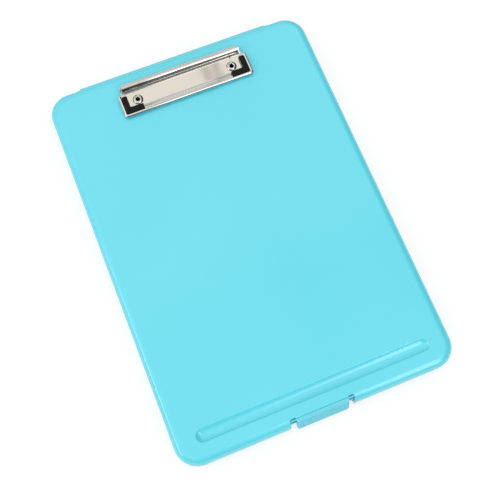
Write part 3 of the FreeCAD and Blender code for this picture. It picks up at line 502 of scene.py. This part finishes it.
# The room round the case: white, and brightest at its ceiling. The plated clip mirrors the
# grey strips that are hung round it to draw lines in bright metal. They are given by
# their height in degrees, from the front over the top to the back.
ROOM_WHITE = (1.0, 1.0, 1.0, 1.0)
ROOM_LIGHT = 1.16
ROOM_LIGHT_LEAN = (-0.36, -0.14, 1.0)
ROOM_LIGHT_EVEN = 0.43
HALF_TURN = 180
ROOM_STRIPS = (
    (0, (0.10, 0.10, 0.11)),
    (24, (0.15, 0.15, 0.16)),
    (42, (0.34, 0.35, 0.36)),
    (56, (0.60, 0.62, 0.63)),
    (60, (2.50, 2.55, 2.60)),
    (76, (2.50, 2.55, 2.60)),
    (84, (1.00, 1.04, 1.05)),
    (90, (0.90, 0.94, 0.94)),
    (100, (0.70, 0.73, 0.72)),
    (106, (0.97, 0.935, 0.875)),
    (122, (0.97, 0.935, 0.875)),
    (128, (0.40, 0.40, 0.39)),
    (134, (0.40, 0.40, 0.39)),
    (140, (0.95, 0.93, 0.89)),
    (160, (0.90, 0.89, 0.86)),
    (168, (0.12, 0.12, 0.12)),
)
SKIRTING_Z = (0.06, 0.20)
SKIRTING_SHADE = 0.15
SCREEN_TOP = (76, 90)
SCREEN_SIDE = (0.07, 0.09)
SCREEN_SHADE = 0.24
RIGHT_SIDE = (0.30, 0.55)
RIGHT_SHADE = 0.04
LAMP_STANDS = ((0.159, 0.166), (0.173, 0.181))
LAMP_STAND_EDGE = 0.004
LAMP_STAND_SHADE = 0.66


def lean_light(tree, way):
    """Strength of the room's light by direction, highest where the light leans to."""
    strength = ROOM_LIGHT * ROOM_LIGHT_EVEN
    leaning = ROOM_LIGHT * (1 - ROOM_LIGHT_EVEN)
    for axis, share in zip("XYZ", Vector(ROOM_LIGHT_LEAN).normalized()):
        part = join_values(tree, "MULTIPLY", way[axis], leaning * share)
        strength = join_values(tree, "ADD", strength, part)
    return join_values(tree, "MAXIMUM", strength, 0.0)


def height_over_front(tree, way):
    """The direction's height over the front, round the X axis: 0 to 1 for half a turn."""
    forward = join_values(tree, "MULTIPLY", way["Y"], -1.0)
    height = join_values(tree, "ARCTAN2", way["Z"], forward)
    return join_values(tree, "DIVIDE", height, math.pi)


def paint_strips(tree, height):
    """Colour of the mirrored room, from the front over the top to the back."""
    ramp = add_node(tree, "ShaderNodeValToRGB")
    tree.links.new(height, ramp.inputs["Fac"])
    stops = ramp.color_ramp.elements
    while len(stops) < len(ROOM_STRIPS):
        stops.new(1.0)
    for stop, (degrees, colour) in zip(stops, ROOM_STRIPS):
        stop.position = degrees / HALF_TURN
        stop.color = (*colour, 1.0)
    return ramp.outputs["Color"]


def shade_sides(tree, way, height):
    """Dim the room's skirting, its right side and a screen in front left of the case."""
    skirting = spread(tree, way["Z"], SKIRTING_SHADE, 1.0, *SKIRTING_Z)
    right = spread(tree, way["X"], 1.0, RIGHT_SHADE, *RIGHT_SIDE)
    low = spread(tree, height, 1.0, 0.0, *(degrees / HALF_TURN for degrees in SCREEN_TOP))
    left = spread(tree, way["X"], 1.0, 0.0, *SCREEN_SIDE)
    screen = join_values(tree, "MULTIPLY", low, left)
    past_screen = spread(tree, screen, 1.0, SCREEN_SHADE, 0.0, 1.0)
    past_both = join_values(tree, "MULTIPLY", right, past_screen)
    return join_values(tree, "MULTIPLY", skirting, past_both)


def shade_stands(tree, way, shade):
    """Dim the two lamp stands that rise at the right, besides what is dimmed already."""
    sideways = join_values(tree, "DIVIDE", way["X"], way["Z"])
    for start, end in LAMP_STANDS:
        rise = spread(tree, sideways, 0.0, 1.0, start - LAMP_STAND_EDGE, start)
        fall = spread(tree, sideways, 1.0, 0.0, end, end + LAMP_STAND_EDGE)
        stand = join_values(tree, "MULTIPLY", rise, fall)
        past_stand = spread(tree, stand, 1.0, LAMP_STAND_SHADE, 0.0, 1.0)
        shade = join_values(tree, "MULTIPLY", shade, past_stand)
    return shade


def make_room():
    """Light the case softly, and show the strips to mirrors and plain white to the camera."""
    world = bpy.data.worlds.new("room")
    bpy.context.scene.world = world
    world.use_nodes = True
    tree = world.node_tree
    tree.nodes.clear()
    way = split_place(tree, "Generated")
    room, mirrored, backdrop = (add_node(tree, "ShaderNodeBackground") for _ in range(3))
    room.inputs["Color"].default_value = ROOM_WHITE
    backdrop.inputs["Color"].default_value = ROOM_WHITE
    tree.links.new(lean_light(tree, way), room.inputs["Strength"])
    height = height_over_front(tree, way)
    tree.links.new(paint_strips(tree, height), mirrored.inputs["Color"])
    shade = shade_stands(tree, way, shade_sides(tree, way, height))
    tree.links.new(shade, mirrored.inputs["Strength"])
    light_path = add_node(tree, "ShaderNodeLightPath")
    below = room.outputs["Background"]
    for kind, above in (("Is Glossy Ray", mirrored),
                        ("Is Transmission Ray", backdrop),
                        ("Is Camera Ray", backdrop)):
        choice = add_node(tree, "ShaderNodeMixShader")
        tree.links.new(light_path.outputs[kind], choice.inputs["Fac"])
        tree.links.new(below, choice.inputs[1])
        tree.links.new(above.outputs["Background"], choice.inputs[2])
        below = choice.outputs["Shader"]
    output = add_node(tree, "ShaderNodeOutputWorld")
    tree.links.new(below, output.inputs["Surface"])


make_room()


# The camera stands over the case and looks down on it from its front left, turned so
# that the case lies askew in the picture. The angles and the lens come from fitting
# the case's outline to the picture.
CAMERA_AZIMUTH = -25.613
CAMERA_ELEVATION = 73.929
CAMERA_ROLL = 3.713
CAMERA_DISTANCE = 0.713622
CAMERA_TARGET = (-0.001564, -0.017105, 0.0)
CAMERA_LENS = 59.748
CAMERA_SENSOR = 36.0
CAMERA_NEAREST = 0.01


def make_camera():
    """Stand the camera off its target by the three angles and the distance."""
    azimuth, elevation, roll = map(math.radians, (CAMERA_AZIMUTH, CAMERA_ELEVATION, CAMERA_ROLL))
    back = Vector((math.sin(azimuth) * math.cos(elevation),
                   -math.cos(azimuth) * math.cos(elevation),
                   math.sin(elevation)))
    level = Vector((math.cos(azimuth), math.sin(azimuth), 0))
    up = back.cross(level)
    right = math.cos(roll) * level + math.sin(roll) * up
    top = back.cross(right)
    data = bpy.data.cameras.new("camera")
    data.sensor_width = CAMERA_SENSOR
    data.lens = CAMERA_LENS
    data.clip_start = CAMERA_NEAREST
    camera = bpy.data.objects.new("camera", data)
    bpy.context.scene.collection.objects.link(camera)
    turn = Matrix((right, top, back)).transposed().to_4x4()
    place = Vector(CAMERA_TARGET) + back * CAMERA_DISTANCE
    camera.matrix_world = Matrix.Translation(place) @ turn
    bpy.context.scene.camera = camera


make_camera()
bpy.context.scene.view_settings.view_transform = "Standard"
